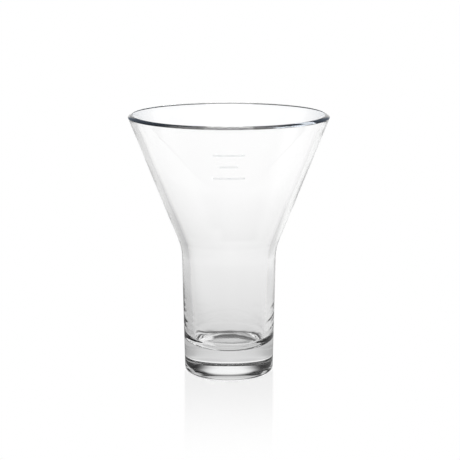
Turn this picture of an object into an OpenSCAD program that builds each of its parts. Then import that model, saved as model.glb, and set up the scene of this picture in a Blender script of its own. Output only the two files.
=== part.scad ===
// Cortado glass. A wide conical bowl runs through a soft waist into a narrow, almost straight lower cup on a
// heavy solid base, all in one turned piece of clear glass. Plain fill lines are fired on the front of the bowl.
// Millimetres, +Z up, the origin in the middle of the foot on the table, the front towards -Y.

/* [Bowl] */
// Height from the table to the top of the lip
height = 105.5; // [95:0.5:120]
// Outer diameter of the lip
rim_d = 79.5; // [72:0.5:90]
// Thickness of the wall at the lip, measured level
lip_t = 1.8; // [1.6:0.1:2.6]
// How much lower the outer edge of the lip lies than the inner one
lip_fall = 0.8; // [0.5:0.1:1.1]
// Radius of the lip's two rounded edges
lip_edge = 0.25; // [0.2:0.05:0.4]

/* [Waist] */
// Height at which the lines of the lower cup and the bowl cross
waist_z = 51.2; // [46:0.2:56]
// Outer diameter at that height, before the lines are blended
waist_d = 38.1; // [37.6:0.1:42]
// Radius of the blend on the outside
waist_blend = 20; // [12:1:36]
// Thickness of the wall through the blend
waist_t = 2.8; // [2:0.1:3.4]

/* [Lower cup and base] */
// Outer diameter at the table, before its edge is rounded
foot_d = 36.2; // [34:0.1:37.4]
// Radius of the rounded edge at the table
foot_edge = 1.5; // [1:0.1:3]
// Thickness of the wall just above the floor of the cup
cup_t = 3.9; // [2.8:0.1:4.6]
// Thickness of the base under the middle of the floor
base_t = 11.1; // [8:0.1:16]
// Radius of the round between the floor and the wall
floor_round = 5; // [3:0.1:7]
// Radius of the shallow dish that makes the floor
floor_dish = 130; // [60:5:400]
// Width of the flat ring that the glass stands on
ring_w = 2.1; // [1:0.1:4]
// Height of the hollow under the base, inside that ring
punt_h = 1.2; // [0.5:0.1:3]

/* [Fill lines] */
// Number of lines
line_count = 3; // [1:1:4]
// Distance from the top of the lip down to the middle of the top line
line_drop = 11; // [8:0.5:16]
// Distance from one line to the next
line_pitch = 4.6; // [3:0.1:6]
// Length of a long line, along the wall
line_long = 12; // [8:0.5:20]
// Length of a short line, along the wall
line_short = 7; // [4:0.5:8]
// Width of a line
line_w = 0.7; // [0.4:0.1:1.5]
// Thickness of the fired ink
ink_t = 0.1; // [0.06:0.02:0.2]

/* [Hidden] */
$fn = 128;

// Points of the turned section are [radius, height].
foot = [foot_d / 2, 0];
waist = [waist_d / 2, waist_z];

// The lip's face falls outwards between its two rounded edges
lip_out_mid = [rim_d / 2 - lip_edge, height - lip_edge - lip_fall];
lip_in_mid = [rim_d / 2 - lip_t + lip_edge, height - lip_edge];
lip_face = -lip_edge * left(unit(lip_in_mid - lip_out_mid));
lip_out = touch(waist, lip_out_mid, lip_edge, -1);

// Lean of the two outer lines from the vertical
cup_lean = lean(foot, waist);
bowl_lean = lean(waist, lip_out);

// Inside corner of the waist, one wall in from the outside one
waist_in = waist + waist_t * [-1, tan((cup_lean + bowl_lean) / 2)];
lip_in = touch(waist_in, lip_in_mid, lip_edge, 1);

// The inside line of the cup, and the round that leads it into the dished floor
cup_in = [foot[0] + base_t * tan(cup_lean) - cup_t, base_t];
cup_in_up = unit(waist_in - cup_in);
dish_mid = [0, base_t + floor_dish];
floor_mid = meet(cup_in + floor_round * left(cup_in_up), cup_in_up, dish_mid, floor_dish - floor_round);
floor_wall = floor_mid - floor_round * left(cup_in_up);
floor_edge = dish_mid + floor_dish * unit(floor_mid - dish_mid);

// Rounded corners, each as [middle of the arc, point before it, point after it]
edge = corner([0, 0], foot, waist, foot_edge);
bend_out = corner(foot, waist, lip_out, waist_blend);
bend_in = corner(lip_in, waist_in, floor_wall, waist_blend + waist_t);

// The hollow under the base is part of a sphere through the inside of the ring
punt_r = edge[1][0] - ring_w;
punt_dome = (punt_r * punt_r + punt_h * punt_h) / (2 * punt_h);

function unit(v) = v / norm(v);
function left(v) = [-v[1], v[0]];
function lean(a, b) = atan2(b[0] - a[0], b[1] - a[1]);
function turned(v, a) = [v[0] * cos(a) - v[1] * sin(a), v[0] * sin(a) + v[1] * cos(a)];

// Where a line from p touches the circle of radius r about c, on its left (side 1) or right (side -1)
function touch(p, c, r, side) =
    let (far = norm(c - p))
    p + sqrt(far * far - r * r) * turned(unit(c - p), side * asin(r / far));

// Lower point where the line through p along d meets the circle of radius r about c
function meet(p, d, c, r) =
    let (along = (p - c) * d, beyond = (p - c) * (p - c) - r * r)
    p - d * (along + sqrt(along * along - beyond));

// Arc of radius r in the corner a-p-b: its middle and its two ends
function corner(a, p, b, r) =
    let (u = unit(a - p), v = unit(b - p), half = acos(u * v) / 2)
    [p + unit(u + v) * r / sin(half), p + u * r / tan(half), p + v * r / tan(half)];

// Radius of the bowl's outside at height z
function bowl_r(z) = waist[0] + (z - waist[1]) * tan(bowl_lean);

// A disc in the section
module disc(c, r) {
    translate(c)
        circle(r);
}

// Half of the glass cut through its axis. The outline is drawn with a straight line across each round, and the
// discs then add or take away what lies between that line and the arc.
module glass_section() {
    difference() {
        union() {
            polygon([
                [0, 0], edge[1], edge[2],
                bend_out[1], bend_out[2],
                lip_out, lip_out_mid + lip_face, lip_in_mid + lip_face, lip_in,
                bend_in[1], bend_in[2],
                floor_wall, floor_edge, [0, floor_edge[1]]
            ]);
            disc(edge[0], foot_edge);
            disc(lip_out_mid, lip_edge);
            disc(lip_in_mid, lip_edge);
            intersection() {
                disc(bend_in[0], waist_blend + waist_t);
                polygon([bend_in[1], waist_in, bend_in[2]]);
            }
        }
        disc(bend_out[0], waist_blend);
        disc(floor_mid, floor_round);
        intersection() {
            disc(dish_mid, floor_dish);
            square(floor_edge);
        }
        disc([0, punt_h - punt_dome], punt_dome);
    }
}

module glass() {
    color([0.88, 0.92, 0.93, 0.35])
        rotate_extrude()
            glass_section();
}

// One line of ink, a band of the bowl's cone centred on the front
module fill_line(z, length) {
    low = z - line_w / 2;
    high = z + line_w / 2;
    sweep = length / bowl_r(z) * 180 / PI;
    rotate([0, 0, -90 - sweep / 2])
        rotate_extrude(angle = sweep)
            polygon([
                [bowl_r(low), low], [bowl_r(low) + ink_t, low],
                [bowl_r(high) + ink_t, high], [bowl_r(high), high]
            ]);
}

module fill_lines() {
    color("white")
        for (i = [0 : line_count - 1])
            fill_line(height - line_drop - i * line_pitch, i % 2 == 0 ? line_long : line_short);
}

glass();
fill_lines();
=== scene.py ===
import math

import bpy
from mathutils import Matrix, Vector


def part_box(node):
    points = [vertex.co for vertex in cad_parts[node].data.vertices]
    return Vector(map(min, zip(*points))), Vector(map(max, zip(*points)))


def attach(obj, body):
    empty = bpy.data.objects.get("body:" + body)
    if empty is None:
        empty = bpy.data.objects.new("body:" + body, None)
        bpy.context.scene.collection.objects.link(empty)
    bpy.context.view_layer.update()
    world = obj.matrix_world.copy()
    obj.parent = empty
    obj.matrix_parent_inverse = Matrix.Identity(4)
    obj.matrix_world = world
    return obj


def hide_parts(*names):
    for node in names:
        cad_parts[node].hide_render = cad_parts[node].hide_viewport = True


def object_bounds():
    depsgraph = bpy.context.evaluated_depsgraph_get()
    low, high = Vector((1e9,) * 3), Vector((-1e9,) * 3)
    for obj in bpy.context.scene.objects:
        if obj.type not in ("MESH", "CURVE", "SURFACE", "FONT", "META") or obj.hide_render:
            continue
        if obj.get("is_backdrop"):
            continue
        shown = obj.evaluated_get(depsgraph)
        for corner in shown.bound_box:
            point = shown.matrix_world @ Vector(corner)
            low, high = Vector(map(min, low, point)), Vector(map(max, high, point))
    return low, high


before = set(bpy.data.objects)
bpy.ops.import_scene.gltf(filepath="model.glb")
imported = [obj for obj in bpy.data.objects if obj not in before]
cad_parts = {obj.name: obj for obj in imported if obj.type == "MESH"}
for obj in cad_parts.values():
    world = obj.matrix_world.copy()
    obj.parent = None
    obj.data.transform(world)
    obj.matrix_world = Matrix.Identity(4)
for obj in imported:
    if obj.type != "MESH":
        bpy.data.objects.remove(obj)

bl_info = {
    "name": "Cortado glass",
    "version": (1, 0, 0),
    "blender": (4, 5, 0),
    "location": "3D View > Sidebar > Cortado",
    "description": "Turns a clear cortado glass, fires its fill lines and sets the studio round it",
    "category": "Object",
}

CAD_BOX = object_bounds()
GLASS_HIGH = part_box("glass")[1]
MM = 0.001
CM = 0.01
FULL_TURN = 2 * math.pi


class GlassSizes(bpy.types.PropertyGroup):
    """Sizes of the turned glass. Its height and width come from the frame."""

    lip_thickness: bpy.props.FloatProperty(
        name="Lip thickness", description="Thickness of the wall at the lip, measured level",
        default=1.8 * MM, unit="LENGTH")
    lip_fall: bpy.props.FloatProperty(
        name="Lip fall", description="How much lower the outer edge of the lip lies than the inner one",
        default=0.92 * MM, unit="LENGTH")
    lip_edge: bpy.props.FloatProperty(
        name="Lip edge", description="Radius of the lip's two rounded edges",
        default=0.15 * MM, unit="LENGTH")
    lip_crown: bpy.props.FloatProperty(
        name="Lip crown", description="Radius of the soft crown that fire polishing gives the face of the lip",
        default=4.5 * MM, unit="LENGTH")
    waist_height: bpy.props.FloatProperty(
        name="Waist height", description="Height at which the lines of the lower cup and the bowl cross",
        default=51.2 * MM, unit="LENGTH")
    waist_radius: bpy.props.FloatProperty(
        name="Waist radius", description="Outer radius at that height, before the lines are blended",
        default=19.05 * MM, unit="LENGTH")
    waist_blend: bpy.props.FloatProperty(
        name="Waist blend", description="Radius of the blend on the outside of the waist",
        default=20 * MM, unit="LENGTH")
    waist_thickness: bpy.props.FloatProperty(
        name="Waist thickness", description="Thickness of the wall through the blend",
        default=2.8 * MM, unit="LENGTH")
    foot_radius: bpy.props.FloatProperty(
        name="Foot radius", description="Outer radius at the table, before its edge is rounded",
        default=18.1 * MM, unit="LENGTH")
    foot_edge: bpy.props.FloatProperty(
        name="Foot edge", description="Radius of the rounded edge at the table",
        default=1.5 * MM, unit="LENGTH")
    cup_thickness: bpy.props.FloatProperty(
        name="Cup thickness", description="Thickness of the wall just above the floor of the cup",
        default=3.9 * MM, unit="LENGTH")
    base_thickness: bpy.props.FloatProperty(
        name="Base thickness", description="Thickness of the base under the middle of the floor",
        default=11.1 * MM, unit="LENGTH")
    floor_round: bpy.props.FloatProperty(
        name="Floor round", description="Radius of the round between the floor and the wall",
        default=5 * MM, unit="LENGTH")
    floor_dish: bpy.props.FloatProperty(
        name="Floor dish", description="Radius of the shallow dish that makes the floor",
        default=130 * MM, unit="LENGTH")
    ring_width: bpy.props.FloatProperty(
        name="Ring width", description="Width of the flat ring that the glass stands on",
        default=2.1 * MM, unit="LENGTH")
    punt_height: bpy.props.FloatProperty(
        name="Punt height", description="Height of the hollow under the base, inside that ring",
        default=1.2 * MM, unit="LENGTH")
    ripple: bpy.props.FloatProperty(
        name="Ripple", description="How far the blown inside wanders from a true turned shape",
        default=0.03 * MM, unit="LENGTH")
    segments: bpy.props.IntProperty(
        name="Segments", description="Faces round the glass", default=192, min=48)


class GlassFinish(bpy.types.PropertyGroup):
    """Finish of the clear glass and of the fired ink."""

    glass_tint: bpy.props.FloatVectorProperty(
        name="Glass tint", description="Colour of the clear glass", subtype="COLOR", size=3,
        default=(0.995, 0.995, 0.995))
    edge_tint: bpy.props.FloatVectorProperty(
        name="Edge tint", description="Colour of the glass where it is thick, in the base and the lip",
        subtype="COLOR", size=3, default=(0.982, 0.986, 0.988))
    glass_ior: bpy.props.FloatProperty(
        name="Index of refraction", description="How much the glass bends light", default=1.5)
    glass_wave: bpy.props.FloatProperty(
        name="Glass wave", description="Height of the faint waves that the mould leaves in the surface",
        default=0.0015 * MM, unit="LENGTH")
    ring_wear: bpy.props.FloatProperty(
        name="Ring wear", description="Roughness of the scuffed ring that the glass stands on", default=0.08)
    ink_colour: bpy.props.FloatVectorProperty(
        name="Ink colour", description="Colour of the fired ink", subtype="COLOR", size=3,
        default=(0.86, 0.87, 0.87))
    ink_thin: bpy.props.FloatVectorProperty(
        name="Thin ink", description="Colour of the ink where it is fired thin", subtype="COLOR", size=3,
        default=(0.72, 0.74, 0.75))


class StageLook(bpy.types.PropertyGroup):
    """Camera and light of the studio."""

    camera_place: bpy.props.FloatVectorProperty(
        name="Camera place", description="Where the camera stands", subtype="XYZ", size=3, unit="LENGTH",
        default=(0.45 * MM, -456.8 * MM, 163.1 * MM))
    camera_dip: bpy.props.FloatProperty(
        name="Camera dip", description="How far the camera looks down", subtype="ANGLE", default=0.2253)
    camera_lens: bpy.props.FloatProperty(
        name="Lens", description="Focal length in millimetres", default=90.93)
    light_level: bpy.props.FloatProperty(
        name="Light", description="Level of the even light all round", default=0.95)
    backdrop_level: bpy.props.FloatProperty(
        name="Backdrop", description="Level of the backdrop that shows through the glass", default=1.05)
    room_colour: bpy.props.FloatVectorProperty(
        name="Room", description="Colour of the room that the face of the glass mirrors", subtype="COLOR", size=3,
        default=(0.3, 0.36, 0.45))
    ceiling_level: bpy.props.FloatProperty(
        name="Ceiling lamp", description="Level of the lamp overhead that the face of the glass mirrors",
        default=6.6)
    softbox_colour: bpy.props.FloatVectorProperty(
        name="Softbox", description="Colour of the softbox on the right that the lip mirrors", size=3,
        default=(5.4, 5.8, 6.3))
    shadow_lamp: bpy.props.FloatProperty(
        name="Back lamp", description="Power of the small lamp behind the glass that casts its shadow",
        default=36, unit="POWER")


class CortadoSettings(bpy.types.PropertyGroup):
    """All settings of the cortado glass."""

    sizes: bpy.props.PointerProperty(type=GlassSizes)
    finish: bpy.props.PointerProperty(type=GlassFinish)
    stage: bpy.props.PointerProperty(type=StageLook)


class Wire:
    """A socket in a node tree. Sums on it add Math nodes."""

    def __init__(self, socket):
        self.socket = socket

    def node(self, kind, settings, sockets):
        """Adds a node of that kind to this wire's tree, and returns its first output."""
        return Wire.first(self.socket.id_data, kind, settings, sockets)

    @staticmethod
    def first(tree, kind, settings=(), sockets=(), output=0):
        """Adds a node: its settings are set first, then its sockets get values or links."""
        made = tree.nodes.new(kind)
        for name, value in dict(settings).items():
            if name == "stops":
                ramp = made.color_ramp
                while len(ramp.elements) < len(value):
                    ramp.elements.new(1.0)
                for stop, (place, colour) in zip(ramp.elements, value):
                    stop.position = place
                    stop.color = colour
            else:
                setattr(made, name, value)
        for name, value in dict(sockets).items():
            if isinstance(value, Wire):
                tree.links.new(value.socket, made.inputs[name])
            else:
                made.inputs[name].default_value = value
        return Wire(made.outputs[output])

    def other(self, output):
        """Another output of the same node."""
        return Wire(self.socket.node.outputs[output])

    def parts(self):
        """The x, y and z of a vector."""
        x = self.node("ShaderNodeSeparateXYZ", (), {0: self})
        return x, x.other("Y"), x.other("Z")

    def noise(self, scale, detail, roughness=0.5):
        """Noise over the places that this vector gives."""
        sockets = {"Vector": self, "Scale": scale, "Detail": detail, "Roughness": roughness}
        return self.node("ShaderNodeTexNoise", (), sockets)

    def bump(self, distance, strength):
        """A normal that takes this value for the height of the skin."""
        return self.node("ShaderNodeBump", (), {"Height": self, "Distance": distance, "Strength": strength})

    def math(self, operation, *values):
        """A Math node on these values."""
        return self.node("ShaderNodeMath", {"operation": operation}, enumerate(values))

    def __add__(self, other):
        return self.math("ADD", self, other)

    __radd__ = __add__

    def __sub__(self, other):
        return self.math("SUBTRACT", self, other)

    def __rsub__(self, other):
        return self.math("SUBTRACT", other, self)

    def __mul__(self, other):
        return self.math("MULTIPLY", self, other)

    __rmul__ = __mul__

    def __truediv__(self, other):
        return self.math("DIVIDE", self, other)

    def __gt__(self, other):
        return self.math("GREATER_THAN", self, other)

    def __abs__(self):
        return self.math("ABSOLUTE", self)

    def __round__(self):
        return self.math("ROUND", self)

    def at_least(self, other):
        return self.math("MAXIMUM", self, other)

    def at_most(self, other):
        return self.math("MINIMUM", self, other)

    def blend(self, low, high):
        """Runs from one colour to another as the value runs from 0 to 1."""
        return self.node("ShaderNodeMix", {"data_type": "RGBA"}, {0: self, 6: low, 7: high}).other(2)

    def mixed(self, other, share):
        """This shader with a share of another."""
        return self.node("ShaderNodeMixShader", (), {0: share, 1: self, 2: other})

    def step(self, low, high, to_low=0.0, to_high=1.0):
        """A smooth step from to_low to to_high as the value runs from low to high."""
        sockets = {"Value": self, "From Min": low, "From Max": high, "To Min": to_low, "To Max": to_high}
        return self.node("ShaderNodeMapRange", {"interpolation_type": "SMOOTHSTEP"}, sockets)

    def fall(self, low, high):
        """A smooth step from 1 down to 0 as the value runs from low to high."""
        return self.step(low, high, 1.0, 0.0)

    def window(self, low, low_end, high, high_end):
        """A smooth step up from low to low_end, and down again from high to high_end."""
        return self.step(low, low_end) * self.fall(high, high_end)


def new_material(name):
    """An empty node material, with its tree and output."""
    material = bpy.data.materials.new(name)
    material.use_nodes = True
    tree = material.node_tree
    tree.nodes.clear()
    return material, tree, tree.nodes.new("ShaderNodeOutputMaterial")


def unit(v):
    """The same direction at length 1."""
    return v / v.length


def left(v):
    """The vector turned a quarter to its left."""
    return Vector((-v.y, v.x))


def touch(p, c, r, side):
    """Where a line from p touches the circle of radius r about c, on its left (1) or right (-1)."""
    far = (c - p).length
    turn = side * math.asin(r / far)
    u = unit(c - p)
    along = Vector((u.x * math.cos(turn) - u.y * math.sin(turn), u.x * math.sin(turn) + u.y * math.cos(turn)))
    return p + math.sqrt(far * far - r * r) * along


def meet(p, d, c, r):
    """Lower point where the line through p along d meets the circle of radius r about c."""
    along = (p - c).dot(d)
    beyond = (p - c).length_squared - r * r
    return p - d * (along + math.sqrt(along * along - beyond))


def corner(a, p, b, r):
    """Arc of radius r in the corner a-p-b: its middle and its two ends."""
    u, v = unit(a - p), unit(b - p)
    half = math.acos(u.dot(v)) / 2
    return p + unit(u + v) * (r / math.sin(half)), p + u * (r / math.tan(half)), p + v * (r / math.tan(half))


def arc(middle, start, end, steps):
    """Points along the shorter arc from start to end about middle, both ends included."""
    a, b = start - middle, end - middle
    first = math.atan2(a.y, a.x)
    sweep = (math.atan2(b.y, b.x) - first + math.pi) % FULL_TURN - math.pi
    angles = [first + sweep * i / steps for i in range(steps + 1)]
    return [middle + a.length * Vector((math.cos(t), math.sin(t))) for t in angles]


def line(start, end, steps):
    """Points between start and end, without the ends."""
    return [start.lerp(end, i / steps) for i in range(1, steps)]


# Faces along each stretch of the section, from the middle of the underside round to the middle of the floor
STEPS = {
    "punt": 16, "ring": 4, "foot_edge": 14, "cup": 20, "waist": 20, "bowl": 30, "lip_edge": 8, "lip_crown": 10,
    "bowl_inside": 40, "waist_inside": 24, "cup_inside": 70, "floor_round": 16, "floor_dish": 16,
}


def glass_outline(s):
    """The turned section as (radius, height) points from the middle of the underside, round the outside and the
    lip, to the middle of the floor, and the index at which the inside starts."""
    height, rim = GLASS_HIGH.z, GLASS_HIGH.x
    lip_out_mid = Vector((rim - s.lip_edge, height - s.lip_edge - s.lip_fall))
    lip_in_mid = Vector((rim - s.lip_thickness + s.lip_edge, height - s.lip_edge))
    lip_gap = lip_in_mid - lip_out_mid
    crown_drop = math.sqrt((s.lip_crown - s.lip_edge) ** 2 - lip_gap.length_squared / 4)
    crown_mid = (lip_out_mid + lip_in_mid) / 2 + crown_drop * unit(left(lip_gap))
    crown_out = lip_out_mid + s.lip_edge * unit(lip_out_mid - crown_mid)
    crown_in = lip_in_mid + s.lip_edge * unit(lip_in_mid - crown_mid)
    foot = Vector((s.foot_radius, 0))
    waist = Vector((s.waist_radius, s.waist_height))
    lip_out = touch(waist, lip_out_mid, s.lip_edge, -1)
    lean = (math.atan2(*(waist - foot)) + math.atan2(*(lip_out - waist))) / 2
    waist_in = waist + s.waist_thickness * Vector((-1, math.tan(lean)))
    lip_in = touch(waist_in, lip_in_mid, s.lip_edge, 1)

    cup_slope = (waist.x - foot.x) / waist.y
    cup_in = Vector((foot.x + s.base_thickness * cup_slope - s.cup_thickness, s.base_thickness))
    up = unit(waist_in - cup_in)
    dish_mid = Vector((0, s.base_thickness + s.floor_dish))
    floor_mid = meet(cup_in + s.floor_round * left(up), up, dish_mid, s.floor_dish - s.floor_round)
    floor_wall = floor_mid - s.floor_round * left(up)
    floor_edge = dish_mid + s.floor_dish * unit(floor_mid - dish_mid)

    edge = corner(Vector((0, 0)), foot, waist, s.foot_edge)
    bend_out = corner(foot, waist, lip_out, s.waist_blend)
    bend_in = corner(lip_in, waist_in, floor_wall, s.waist_blend + s.waist_thickness)
    punt = edge[1].x - s.ring_width
    punt_dome = (punt ** 2 + s.punt_height ** 2) / (2 * s.punt_height)
    punt_mid = Vector((0, s.punt_height - punt_dome))

    outside = arc(punt_mid, Vector((0, s.punt_height)), Vector((punt, 0)), STEPS["punt"])
    outside += line(outside[-1], edge[1], STEPS["ring"]) + arc(*edge, STEPS["foot_edge"])
    outside += line(edge[2], bend_out[1], STEPS["cup"]) + arc(*bend_out, STEPS["waist"])
    outside += line(bend_out[2], lip_out, STEPS["bowl"])
    outside += arc(lip_out_mid, lip_out, crown_out, STEPS["lip_edge"])
    outside += arc(crown_mid, crown_out, crown_in, STEPS["lip_crown"])[1:-1]
    inside = arc(lip_in_mid, crown_in, lip_in, STEPS["lip_edge"])
    inside += line(lip_in, bend_in[1], STEPS["bowl_inside"]) + arc(*bend_in, STEPS["waist_inside"])
    inside += line(bend_in[2], floor_wall, STEPS["cup_inside"])
    inside += arc(floor_mid, floor_wall, floor_edge, STEPS["floor_round"])
    inside += arc(dish_mid, floor_edge, Vector((0, s.base_thickness)), STEPS["floor_dish"])[1:]
    return outside + inside, len(outside)


# Waves of the inside, and the creases that the chill leaves just above the floor: each one's share of the ripple, its
# waves round the glass, how far it turns with each centimetre of height, and its phase
WAVES = ((1 / 3, 3, 1.3, 0), (1 / 3, 5, -2.1, 1.7), (1 / 3, 2, 3.7, 0.4))
CREASES = ((1, 4, 9, 0), (1, -3, 13, 1.1), (0.7, 9, 21, 0), (0.7, -13, 28, 2))

# The creases by height in centimetres: the middle of their band and how wide it is, where they start and over what
# height. They are full at the left and the right, and have the least share in front and behind.
CHILL_MIDDLE, CHILL_WIDTH = 2.1, 0.7
CHILL_FROM, CHILL_OVER = 1.3, 0.5
CHILL_LEAST = 0.15

# Points of the inside, from the lip down, that keep the true shape
STEADY_POINTS = 12


def ripple(turn, height):
    """How far the inside wanders at this angle and height, as a share of the ripple: most just above the floor."""
    z = height / CM

    def wander(rows):
        return sum(share * math.sin(count * turn + climb * z + phase) for share, count, climb, phase in rows)

    band = math.exp(-((z - CHILL_MIDDLE) / CHILL_WIDTH) ** 2)
    off_floor = min(max((z - CHILL_FROM) / CHILL_OVER, 0), 1)
    round_glass = CHILL_LEAST + (1 - CHILL_LEAST) * math.cos(turn) ** 4
    return wander(WAVES) + band * off_floor * round_glass * wander(CREASES)


class CORTADO_OT_turn_glass(bpy.types.Operator):
    """Turn the glass from its section and give it clear glass"""

    bl_idname = "cortado.turn_glass"
    bl_label = "Turn glass"

    def execute(self, context):
        s = context.scene.cortado.sizes
        outline, first_inside = glass_outline(s)
        verts, rings = [], []
        for i, (radius, height) in enumerate(outline):
            ends = i in (0, len(outline) - 1)
            count = 1 if ends else s.segments
            rings.append(range(len(verts), len(verts) + count))
            wander = s.ripple if i > first_inside + STEADY_POINTS and not ends else 0
            for k in range(count):
                turn = FULL_TURN * k / s.segments
                r = 0 if ends else radius + wander * ripple(turn, height)
                verts.append((r * math.cos(turn), r * math.sin(turn), height))
        faces = []
        for low, high in zip(rings, rings[1:]):
            for k in range(s.segments):
                n = (k + 1) % s.segments
                if len(low) == 1:
                    faces.append((low[0], high[n], high[k]))
                elif len(high) == 1:
                    faces.append((low[k], low[n], high[0]))
                else:
                    faces.append((low[k], low[n], high[n], high[k]))
        mesh = bpy.data.meshes.new("clear_glass")
        mesh.from_pydata(verts, [], faces)
        mesh.shade_smooth()
        glass = bpy.data.objects.new("clear_glass", mesh)
        context.scene.collection.objects.link(glass)
        mesh.materials.append(clear_glass(context.scene.cortado.finish))
        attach(glass, "root")
        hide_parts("glass")
        return {"FINISHED"}


# Heights over which the thick base ends, the thick lip starts, and the scuffs of the standing ring end
THICK_BASE = (8 * MM, 13 * MM)
THICK_LIP = (GLASS_HIGH.z - 3 * MM, GLASS_HIGH.z - 2 * MM)
SCUFFED_RING = (0.02 * MM, 0.12 * MM)

# The least of the tint where the glass is thick, and the noise that shows as a scuff
TINT_LEAST = 0.7
SCUFF_NOISE = (0.35, 0.6)


def clear_glass(finish):
    """Clear pressed glass: faint waves from the mould, a deeper tint where it is thick, a scuffed standing ring."""
    material, tree, output = new_material("clear_glass")
    place = Wire.first(tree, "ShaderNodeTexCoord", output="Object")
    z = place.parts()[2]
    skin = place.noise(scale=70, detail=1.0, roughness=0.4).bump(distance=finish.glass_wave, strength=1.0)
    thick = z.fall(*THICK_BASE) + z.step(*THICK_LIP)
    cloud = place.noise(scale=40, detail=2.0)
    tint = (thick * (TINT_LEAST + (1 - TINT_LEAST) * cloud)).blend((*finish.glass_tint, 1), (*finish.edge_tint, 1))
    wear = z.fall(*SCUFFED_RING) * place.noise(scale=1500, detail=3.0).step(*SCUFF_NOISE)
    shader = Wire.first(tree, "ShaderNodeBsdfPrincipled", (), {
        "Base Color": tint,
        "Roughness": wear * finish.ring_wear,
        "IOR": finish.glass_ior,
        "Transmission Weight": 1.0,
        "Normal": skin,
    })
    tree.links.new(shader.socket, output.inputs["Surface"])
    return material


class CORTADO_OT_fire_lines(bpy.types.Operator):
    """Give the fill lines their fired ink"""

    bl_idname = "cortado.fire_lines"
    bl_label = "Fire fill lines"

    def execute(self, context):
        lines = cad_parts["fill_lines"]
        lines.data.materials.clear()
        lines.data.materials.append(fired_ink(context.scene.cortado.finish))
        return {"FINISHED"}


# The noise over which the ink goes thin, its roughness and what its grain adds to that, and the grain's height
THIN_NOISE = (0.5, 0.75)
INK_ROUGHNESS, GRAIN_ROUGHNESS = 0.35, 0.2
GRAIN_HEIGHT = 0.01 * MM


def fired_ink(finish):
    """Satin white ceramic ink, a little thin and grainy in places."""
    material, tree, output = new_material("fired_ink")
    place = Wire.first(tree, "ShaderNodeTexCoord", output="Object")
    thin = place.noise(scale=600, detail=3.0).step(*THIN_NOISE)
    grain = place.noise(scale=6000, detail=2.0)
    shader = Wire.first(tree, "ShaderNodeBsdfPrincipled", (), {
        "Base Color": thin.blend((*finish.ink_colour, 1), (*finish.ink_thin, 1)),
        "Roughness": INK_ROUGHNESS + GRAIN_ROUGHNESS * grain,
        "Normal": grain.bump(distance=GRAIN_HEIGHT, strength=0.6),
    })
    tree.links.new(shader.socket, output.inputs["Surface"])
    return material


class CORTADO_OT_set_stage(bpy.types.Operator):
    """Set the floor, the light and the camera"""

    bl_idname = "cortado.set_stage"
    bl_label = "Set stage"

    def execute(self, context):
        look = context.scene.cortado.stage
        set_world(context.scene, look)
        set_floor(context.scene)
        set_lamp(context.scene, look)
        set_camera(context.scene, look)
        context.scene.view_settings.view_transform = "Standard"
        return {"FINISHED"}


DEGREE = math.pi / 180
QUARTER = 90
WHITE = (1, 1, 1, 1)
BLACK = (0, 0, 0, 1)


def grey(level):
    """A grey of that level, as a colour."""
    return (level, level, level, 1)


def levels(wire, table):
    """A ramp of greys by a table of (value, level) rows, the first at 0."""
    reach = table[-1][0]
    share = wire / reach
    stops = [(at / reach, grey(level)) for at, level in table]
    return share.node("ShaderNodeValToRGB", {"stops": stops}, {0: share})


def ray_path(tree):
    """The path of a ray so far, and whether it entered the glass, was mirrored, and crossed more than two surfaces."""
    path = Wire.first(tree, "ShaderNodeLightPath")
    crossed = path.other("Transmission Depth")
    return path, crossed > 0.5, path.other("Glossy Depth") > 0.5, crossed > 2.5


# The room by direction, in degrees: a side counts to the right from straight behind the glass, a rise up from the
# horizon. Here and for the table, a pair of numbers is where a step starts and ends, and four are a step up and a
# step down again.

# Level of a screen by distance to the side of its middle, and the share of that by rise
SCREEN_LEVELS = ((0, 0.97), (9, 0.95), (13, 0.87), (17, 0.72), (21, 0.48), (25, 0.25), (29, 0.1), (33, 0.03),
                 (40, 0.01), (45, 0.01))
SCREEN_SHARES = ((0, 1.0), (31, 1.0), (33, 0.91), (35, 0.53), (37, 0.25), (39, 0.04), (45, 0.04))

# The screens at the sides and in front are narrower than the one behind, and all grow wider with the rise. Their tops
# come down towards their edges, as the cube of the distance, and by a degree on the left.
HALF_SCREEN = 45
NARROW_SIDE, NARROWING = (44.1, 45.9), 1.5
WIDER_RISE, WIDER_BY = (8, 30), (-2.0, 4.0)
ARCH_CUBE, ARCH_MOST = 2400, 6.5
LEFT_SIDE = (-18, 0)

# Grey places on the screens: a nook on the right, the edge of the right screen above a slope, and the edge of the
# left screen, which reaches further in at the top
NOOK_SIDE, NOOK_RISE, NOOK_LEVEL = (28, 40, 60, 75), (32.5, 36), 0.5
RIGHT_SIDE, RIGHT_RISE, RIGHT_LEVEL = (43, 47, 80, 90), (28, 31), 0.6
RIGHT_SLOPE, RIGHT_FROM = 0.55, 46
LEFT_START, LEFT_END, LEFT_LEVEL = (-90, -80), (-70, -64), 0.65
LEFT_TOP_END, LEFT_TOP_RISE = (-48, -42), (32, 34)

# Level of the ceiling by rise. It starts higher towards the edges of the screens, as the square of the distance, and
# lower on the left.
CEILING_LEVELS = ((0, 0.58), (45, 0.58), (62, 0.67), (80, 0.7), (90, 0.74))
CEILING_RISE, CEILING_DROP = (37.2, 40), 1.2
BOW_SQUARE, BOW_MOST = 240, 3

# The dim front of the room by the direction's y, darker low down. Rays that crossed more than two surfaces find the
# low room bright, and grey in the middle, by the direction's x.
FRONT_Y, FRONT_RISE, FRONT_LEVEL = (-0.3, 0.2), (45, 60), 0.35
LOW_RISE, LOW_FRONT_LEVEL, LOW_DEEP_LEVEL = (22, 32), 0.02, 0.97
DEEP_MIDDLE, DEEP_MIDDLE_LEVEL, DEEP_RIGHT = (0.2, 0.35), 0.5, (0.2, 0.5)


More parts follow.
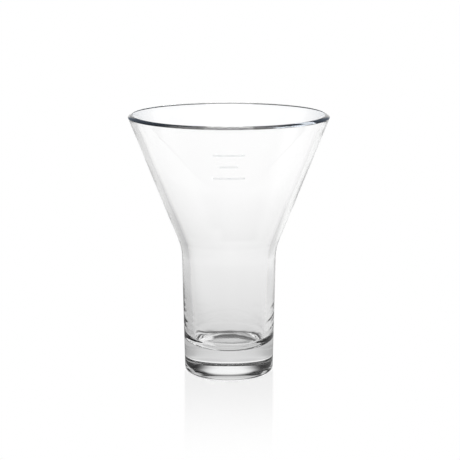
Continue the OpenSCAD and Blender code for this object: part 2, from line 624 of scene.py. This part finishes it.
def room_inside(x, y, side, rise, deep):
    """What the inside of the glass mirrors: four bright screens with dark gaps, a pale ceiling and a dark front."""
    turn = side / QUARTER
    narrowing = abs(side).step(*NARROW_SIDE, 1.0, NARROWING)
    off_middle = (abs(turn - round(turn)) * QUARTER * narrowing).at_most(HALF_SCREEN)
    on_left = side.fall(*LEFT_SIDE)

    across = levels(off_middle - rise.step(*WIDER_RISE, *WIDER_BY), SCREEN_LEVELS)
    arch = (off_middle * off_middle * off_middle / ARCH_CUBE).at_most(ARCH_MOST)
    upwards = levels(rise + arch + on_left, SCREEN_SHARES)
    screens = across.node("ShaderNodeMix", {"data_type": "RGBA", "blend_type": "MULTIPLY"},
                          {0: 1.0, 6: across, 7: upwards}).other(2)
    nook = side.window(*NOOK_SIDE) * rise.step(*NOOK_RISE)
    screens = nook.blend(screens, grey(NOOK_LEVEL))
    right_edge = side.window(*RIGHT_SIDE) * (rise + RIGHT_SLOPE * (side - RIGHT_FROM)).step(*RIGHT_RISE)
    screens = right_edge.blend(screens, grey(RIGHT_LEVEL))
    left_top = side.fall(*LEFT_TOP_END) * rise.step(*LEFT_TOP_RISE)
    left_edge = side.fall(*LEFT_END).at_least(left_top) * side.step(*LEFT_START)
    screens = left_edge.blend(screens, grey(LEFT_LEVEL))

    bow = (off_middle * off_middle / BOW_SQUARE).at_most(BOW_MOST)
    ceiling = (rise - bow + CEILING_DROP * on_left).step(*CEILING_RISE)
    room = ceiling.blend(screens, levels(rise, CEILING_LEVELS))
    low = rise.fall(*LOW_RISE)
    low_deep = low * deep
    front = y.fall(*FRONT_Y) * rise.fall(*FRONT_RISE)
    room = low_deep.blend(room, grey(LOW_DEEP_LEVEL))
    room = (low_deep * abs(x).fall(*DEEP_MIDDLE)).blend(room, grey(DEEP_MIDDLE_LEVEL))
    room = (front * (1 - low_deep * x.step(*DEEP_RIGHT))).blend(room, grey(FRONT_LEVEL))
    return (front * low * (1 - deep)).blend(room, grey(LOW_FRONT_LEVEL))


# The room that the face of the glass mirrors: a ceiling at half the level of its lamp, the lamp as a strip overhead by
# the direction's x and y, the backdrop, and on the right a low softbox with a sloping top and a high one that is twice
# as bright
FACE_CEILING_RISE, FACE_CEILING_SHARE = (45, 66), 0.5
OVERHEAD_HALF, OVERHEAD_TAPER, OVERHEAD_RISE = (0.25, 0.28), 0.265, (36, 44)
BACKDROP_SIDE, BACKDROP_RISE = (12, 20), (14, 20)
LOW_BOX_SIDE, LOW_BOX_FOOT, LOW_BOX_TOP = (7, 11, 50, 60), (30, 32), (34, 36.5)
LOW_BOX_SLOPE, LOW_BOX_FROM = 0.25, 11
HIGH_BOX_SIDE, HIGH_BOX_RISE, HIGH_BOX_SHARE = (38, 48, 85, 95), (36, 39, 60, 64), 2


def room_on_face(x, y, side, rise, look):
    """What the face of the glass mirrors: a dim room with a lamp overhead, the backdrop and two softboxes."""
    ceiling = grey(FACE_CEILING_SHARE * look.ceiling_level)
    room = rise.step(*FACE_CEILING_RISE).blend((*look.room_colour, 1), ceiling)
    overhead = (abs(x) + OVERHEAD_TAPER * y).fall(*OVERHEAD_HALF) * rise.step(*OVERHEAD_RISE)
    room = overhead.blend(room, grey(look.ceiling_level))
    backdrop = abs(side).fall(*BACKDROP_SIDE) * rise.fall(*BACKDROP_RISE)
    room = backdrop.blend(room, WHITE)
    top = (rise - LOW_BOX_SLOPE * (side - LOW_BOX_FROM)).fall(*LOW_BOX_TOP)
    low_box = side.window(*LOW_BOX_SIDE) * rise.step(*LOW_BOX_FOOT) * top
    room = low_box.blend(room, (*look.softbox_colour, 1))
    high_box = side.window(*HIGH_BOX_SIDE) * rise.window(*HIGH_BOX_RISE)
    return high_box.blend(room, (*(HIGH_BOX_SHARE * level for level in look.softbox_colour), 1))


def set_world(scene, look):
    """A white backdrop, and round the glass the room that it mirrors."""
    world = bpy.data.worlds.new("studio")
    scene.world = world
    world.use_nodes = True
    tree = world.node_tree
    tree.nodes.clear()
    output = tree.nodes.new("ShaderNodeOutputWorld")
    path, entered, mirrored, deep = ray_path(tree)
    x, y, z = Wire.first(tree, "ShaderNodeTexCoord", output="Generated").parts()
    side = x.math("ARCTAN2", x, y) / DEGREE
    rise = z.math("ARCTAN2", z, z.math("SQRT", x * x + y * y)) / DEGREE

    room = entered.blend(room_on_face(x, y, side, rise, look), room_inside(x, y, side, rise, deep))
    shade = mirrored.blend(grey(look.backdrop_level), room)
    spread = path.other("Diffuse Depth") > 0.5
    shade = spread.blend(shade, grey(look.light_level))
    shade = path.other("Is Camera Ray").blend(shade, WHITE)
    background = Wire.first(tree, "ShaderNodeBackground", (), {"Color": shade, "Strength": 1.0})
    tree.links.new(background.socket, output.inputs["Surface"])


# The table by place, in millimetres from the middle of the glass: x to the right, y to the back

# Painted levels of light and shade by distance, which the table glows with: as the table shows through the glass,
# and as the inside and the face of the glass mirror it on the left and on the right. They are mostly darker near the
# glass, as its painted shade, and lighter far off.
TABLE_THROUGH = ((0, 0.66), (32, 0.66), (50, 0.69), (70, 0.745), (98, 0.79), (123, 0.82), (150, 0.855), (209, 0.92),
                 (350, 1.04), (600, 1.055), (1000, 1.1))
TABLE_INSIDE_LEFT = ((0, 0.74), (28, 0.7), (45, 0.53), (80, 0.58), (110, 0.7), (120, 0.72), (150, 0.67), (200, 0.74),
                     (260, 0.74), (350, 0.68), (500, 0.68), (1000, 0.8))
TABLE_INSIDE_RIGHT = ((0, 0.74), (45, 0.74), (80, 0.8), (110, 0.84), (150, 0.9), (180, 0.86), (230, 0.76),
                      (350, 0.74), (1000, 0.8))
TABLE_FACE_LEFT = ((0, 0.3), (80, 0.3), (100, 0.4), (130, 0.6), (160, 0.85), (200, 1.0), (1000, 1.0))
TABLE_FACE_RIGHT = ((0, 0.4), (60, 0.5), (80, 0.6), (100, 0.8), (130, 0.95), (160, 1.0), (1000, 1.0))

# Where left becomes right, as x by distance; a darker patch on the left; a darker belt and a white edge behind, as y
# by distance; and the white front
TABLE_LEFT = (-0.35, 0.1)
ASIDE_LEFT, ASIDE_AWAY, ASIDE_SHARE = (-0.5, -0.27), (160, 260), 0.1
BELT_BEHIND, BELT_AWAY, BELT_SHARE = (0.35, 0.6), (70, 100, 125, 150), 0.14
EDGE_BEHIND, EDGE_AWAY = (0.66, 0.8), (130, 190)
FACE_FRONT = (-90, -40)


def far_table(x, y, away):
    """Painted light and shade of the table round the glass, as it shows through it and as the inside and the face of
    the glass mirror it.
    """
    aside, behind = x / away, y / away
    on_left = aside.fall(*TABLE_LEFT)
    patch = ASIDE_SHARE * aside.fall(*ASIDE_LEFT) * away.fall(*ASIDE_AWAY)
    through = patch.blend(levels(away, TABLE_THROUGH), BLACK)
    inside = on_left.blend(levels(away, TABLE_INSIDE_RIGHT), levels(away, TABLE_INSIDE_LEFT))
    belt = BELT_SHARE * behind.step(*BELT_BEHIND) * away.window(*BELT_AWAY)
    inside = belt.blend(inside, BLACK)
    edge = behind.step(*EDGE_BEHIND) * away.step(*EDGE_AWAY) * (1 - on_left)
    inside = edge.blend(inside, WHITE)
    face = on_left.blend(levels(away, TABLE_FACE_RIGHT), levels(away, TABLE_FACE_LEFT))
    face = y.fall(*FACE_FRONT).blend(face, WHITE)
    return through, inside, face


# Painted levels of light and shade of the table by the foot as it shows through the glass: through the base by
# distance to the side, along lines that spread to the back, and through the floor of the cup by distance to the back
# from FLOOR_FROM, on a slant. Under the back of the foot the floor of the cup shows a near-black band, a painted
# contact shadow where the glass stands, with a painted light band just in front of it.
BASE_LEVELS = ((0, 0.74), (2, 0.7), (4, 0.66), (6, 0.61), (9, 0.54), (20, 0.5))
BASE_FROM, BASE_SPREAD, BASE_LEAST = 21, 12, 0.25
FLOOR_LEVELS = ((0, 0.5), (13, 0.54), (18, 0.6), (21, 0.68), (24, 0.9), (25.5, 0.85), (27.5, 0.03), (41, 0.03),
                (43.5, 0.6), (47, 0.68), (60, 0.715))
FLOOR_FROM, FLOOR_SLANT = -20, 0.15

# Painted highlights on the table that show on the left and the right of the cup's floor, and the plain table outside
# it
PAINTED_SHINE_Y = (18, 22)
LEFT_PAINTED_SHINE, LEFT_PAINTED_SHINE_LEVEL = (-9, -6.5), 0.95
RIGHT_PAINTED_SHINE, RIGHT_PAINTED_SHINE_LEVEL = (14, 18.5), 0.8
PLAIN_ASIDE, PLAIN_FRONT, PLAIN_LEVEL = (18, 26), (-16, -8), 0.7


def near_table_through(x, y, deep):
    """Painted light and shade of the table by the foot as it shows through the glass: through the base, and through
    the floor of the cup.
    """
    spread = ((y - BASE_FROM) / BASE_SPREAD).at_least(BASE_LEAST)
    base = levels(abs(x) / spread, BASE_LEVELS)
    cup_floor = levels(y + FLOOR_SLANT * x - FLOOR_FROM, FLOOR_LEVELS)
    near = y.fall(*PAINTED_SHINE_Y)
    cup_floor = (x.fall(*LEFT_PAINTED_SHINE) * near).blend(cup_floor, grey(LEFT_PAINTED_SHINE_LEVEL))
    cup_floor = (x.step(*RIGHT_PAINTED_SHINE) * near).blend(cup_floor, grey(RIGHT_PAINTED_SHINE_LEVEL))
    outside = abs(x).step(*PLAIN_ASIDE).at_least(y.fall(*PLAIN_FRONT))
    cup_floor = outside.blend(cup_floor, grey(PLAIN_LEVEL))
    return deep.blend(base, cup_floor)


# The table by the foot as the inside of the glass mirrors it, all painted light and shade. Under the base it has
# painted shade, with a painted light left and a grey front that comes further back on the right. Under the floor of
# the cup painted light falls off to the right, with a painted contact shadow where the glass stands and a painted
# glint. Spots are (x, y, half their width, half their depth).
UNDER_X, UNDER_LEFT_LEVEL, UNDER_RIGHT_LEVEL = (-6.5, -3.5), 0.85, 0.02
UNDER_FRONT, UNDER_FRONT_LEVEL = (-6, -5), 0.62
UNDER_SLOPE, UNDER_FROM = 0.45, 5
CUP_X, CUP_LEVELS = (-12, 8), (0.86, 0.45)
PAINTED_CONTACT_SHADOW, PAINTED_CONTACT_DEPTH = (0, 10.5, 9, 3), 0.96
FAR_PAINTED_CONTACT_SHADOW, FAR_PAINTED_CONTACT_SHARE = (0, 18.5, 6.5, 3), 0.6
PAINTED_GLINT, PAINTED_GLINT_LEVEL = (-14, 12, 3.5, 4), 0.4
SPOT_EDGE = (0.6, 1.3)


def spot(x, y, at_x, at_y, half_x, half_y):
    """A soft oval on the table, 1 in its middle and 0 outside."""
    right, back = (x - at_x) / half_x, (y - at_y) / half_y
    return (right * right + back * back).fall(*SPOT_EDGE)


def near_table_inside(x, y, deep):
    """Painted light and shade of the table by the foot as the inside of the glass mirrors it: under the base, and
    under the floor of the cup.
    """
    under = x.step(*UNDER_X).blend(grey(UNDER_LEFT_LEVEL), grey(UNDER_RIGHT_LEVEL))
    back = (y - UNDER_SLOPE * (x - UNDER_FROM).at_least(0)).step(*UNDER_FRONT)
    base = back.blend(grey(UNDER_FRONT_LEVEL), under)
    # Painted contact shadow where the glass stands on the table, and a painted glint to its left
    contact = spot(x, y, *PAINTED_CONTACT_SHADOW).at_least(FAR_PAINTED_CONTACT_SHARE * spot(x, y, *FAR_PAINTED_CONTACT_SHADOW))
    cup_floor = x.step(*CUP_X, *CUP_LEVELS) * (1 - PAINTED_CONTACT_DEPTH * contact) + PAINTED_GLINT_LEVEL * spot(x, y, *PAINTED_GLINT)
    return deep.blend(base, cup_floor)


# Half the width of the table in metres, and how far from the middle what is near the foot goes over into the rest
FLOOR_HALF = 4.0
NEAR_THROUGH, NEAR_INSIDE = (40, 90), (22, 26)

# The strip of the table that keeps the shadow: half its width at SHADOW_AT, and how it spreads to the back. An even
# glow and a matt grey that the back lamp lights make white there. The shade in the strip is the real shadow of the
# back lamp; its sides and its ends come from the strip, as the table outside it glows plain white.
SHADOW_HALF, SHADOW_AT, SHADOW_SPREAD = 17.6, -17, 0.037
SHADOW_EDGE, SHADOW_Y = (-0.4, 0.5), (-95, -8, 20, 60)
EVEN_GLOW, MATT_GREY = 0.78, 0.1


def set_floor(scene):
    """A pale table that is white to the camera and keeps the shadow of the glass near its foot, and that glows with
    painted light and shade for rays that went through or off the glass.
    """
    mesh = bpy.data.meshes.new("floor")
    corners = [(right * FLOOR_HALF, back * FLOOR_HALF, 0) for right, back in ((-1, -1), (1, -1), (1, 1), (-1, 1))]
    mesh.from_pydata(corners, [], [(0, 1, 2, 3)])
    floor = bpy.data.objects.new("floor", mesh)
    scene.collection.objects.link(floor)
    floor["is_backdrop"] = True
    material, tree, output = new_material("pale_floor")
    mesh.materials.append(material)
    path, entered, mirrored, deep = ray_path(tree)
    place = Wire.first(tree, "ShaderNodeTexCoord", output="Object")
    x, y = (part / MM for part in place.parts()[:2])
    away = place.node("ShaderNodeVectorMath", {"operation": "LENGTH"}, {0: place}).other("Value") / MM

    far_through, far_inside, face = far_table(x, y, away)
    through = away.fall(*NEAR_THROUGH).blend(far_through, near_table_through(x, y, deep))
    inside = away.fall(*NEAR_INSIDE).blend(deep.blend(far_inside, far_through), near_table_inside(x, y, deep))
    shade = (mirrored * (1 - entered)).blend(mirrored.blend(through, inside), face)
    # For rays that went through or off the glass the table glows with this painted light and shade, lit by no lamp
    table = Wire.first(tree, "ShaderNodeEmission", (), {"Color": shade, "Strength": 1.0})

    white = Wire.first(tree, "ShaderNodeEmission", (), {"Color": WHITE, "Strength": 1.0})
    even = Wire.first(tree, "ShaderNodeEmission", (), {"Color": WHITE, "Strength": EVEN_GLOW})
    matt = Wire.first(tree, "ShaderNodeBsdfDiffuse", (), {"Color": grey(MATT_GREY)})
    lit = Wire.first(tree, "ShaderNodeAddShader", (), {0: even, 1: matt})
    beside = abs(x) - (SHADOW_HALF + SHADOW_SPREAD * (y - SHADOW_AT))
    seen = white.mixed(lit, beside.fall(*SHADOW_EDGE) * y.window(*SHADOW_Y))
    bent = path.other("Is Transmission Ray") + path.other("Is Glossy Ray") > 0.5
    tree.links.new(seen.mixed(table, bent).socket, output.inputs["Surface"])


# Width and depth of the back lamp, and where it stands behind and above the glass, in metres
LAMP_SIZE = (0.03, 0.2)
LAMP_BEHIND, LAMP_ABOVE = 0.9, 0.8


def set_lamp(scene, look):
    """A small lamp high behind the glass, turned to its foot, that casts its shadow."""
    data = bpy.data.lights.new("back_lamp", "AREA")
    data.shape = "RECTANGLE"
    data.size, data.size_y = LAMP_SIZE
    data.energy = look.shadow_lamp
    data.cycles.use_multiple_importance_sampling = False
    lamp = bpy.data.objects.new("back_lamp", data)
    lamp.location = (0, LAMP_BEHIND, LAMP_ABOVE)
    lamp.rotation_euler = (-math.atan2(LAMP_BEHIND, LAMP_ABOVE), 0, 0)
    scene.collection.objects.link(lamp)


# Width of the camera's sensor in millimetres
SENSOR_WIDTH = 36


def set_camera(scene, look):
    """A camera at the photograph's viewing angle."""
    data = bpy.data.cameras.new("camera")
    data.lens = look.camera_lens
    data.sensor_width = SENSOR_WIDTH
    camera = bpy.data.objects.new("camera", data)
    camera.location = look.camera_place
    camera.rotation_euler = (math.pi / 2 - look.camera_dip, 0, 0)
    scene.collection.objects.link(camera)
    scene.camera = camera


class CORTADO_PT_panel(bpy.types.Panel):
    """The cortado glass in the sidebar"""

    bl_idname = "CORTADO_PT_panel"
    bl_label = "Cortado glass"
    bl_space_type = "VIEW_3D"
    bl_region_type = "UI"
    bl_category = "Cortado"

    def draw(self, context):
        settings = context.scene.cortado
        for operator, group in zip(OPERATORS, (settings.sizes, settings.finish, settings.stage)):
            self.layout.operator(operator.bl_idname)
            for name in group.bl_rna.properties.keys():
                if name not in ("rna_type", "name"):
                    self.layout.prop(group, name)


OPERATORS = (CORTADO_OT_turn_glass, CORTADO_OT_fire_lines, CORTADO_OT_set_stage)
CLASSES = (GlassSizes, GlassFinish, StageLook, CortadoSettings, *OPERATORS, CORTADO_PT_panel)


def register():
    for made in CLASSES:
        bpy.utils.register_class(made)
    bpy.types.Scene.cortado = bpy.props.PointerProperty(type=CortadoSettings)


def unregister():
    del bpy.types.Scene.cortado
    for made in reversed(CLASSES):
        bpy.utils.unregister_class(made)


def main():
    register()
    bpy.ops.cortado.turn_glass()
    bpy.ops.cortado.fire_lines()
    bpy.ops.cortado.set_stage()
    boxes = {"cad": CAD_BOX, "visual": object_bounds()}
    {name: [list(c) for c in box] for name, box in boxes.items()}


if __name__ == "__main__":
    main()
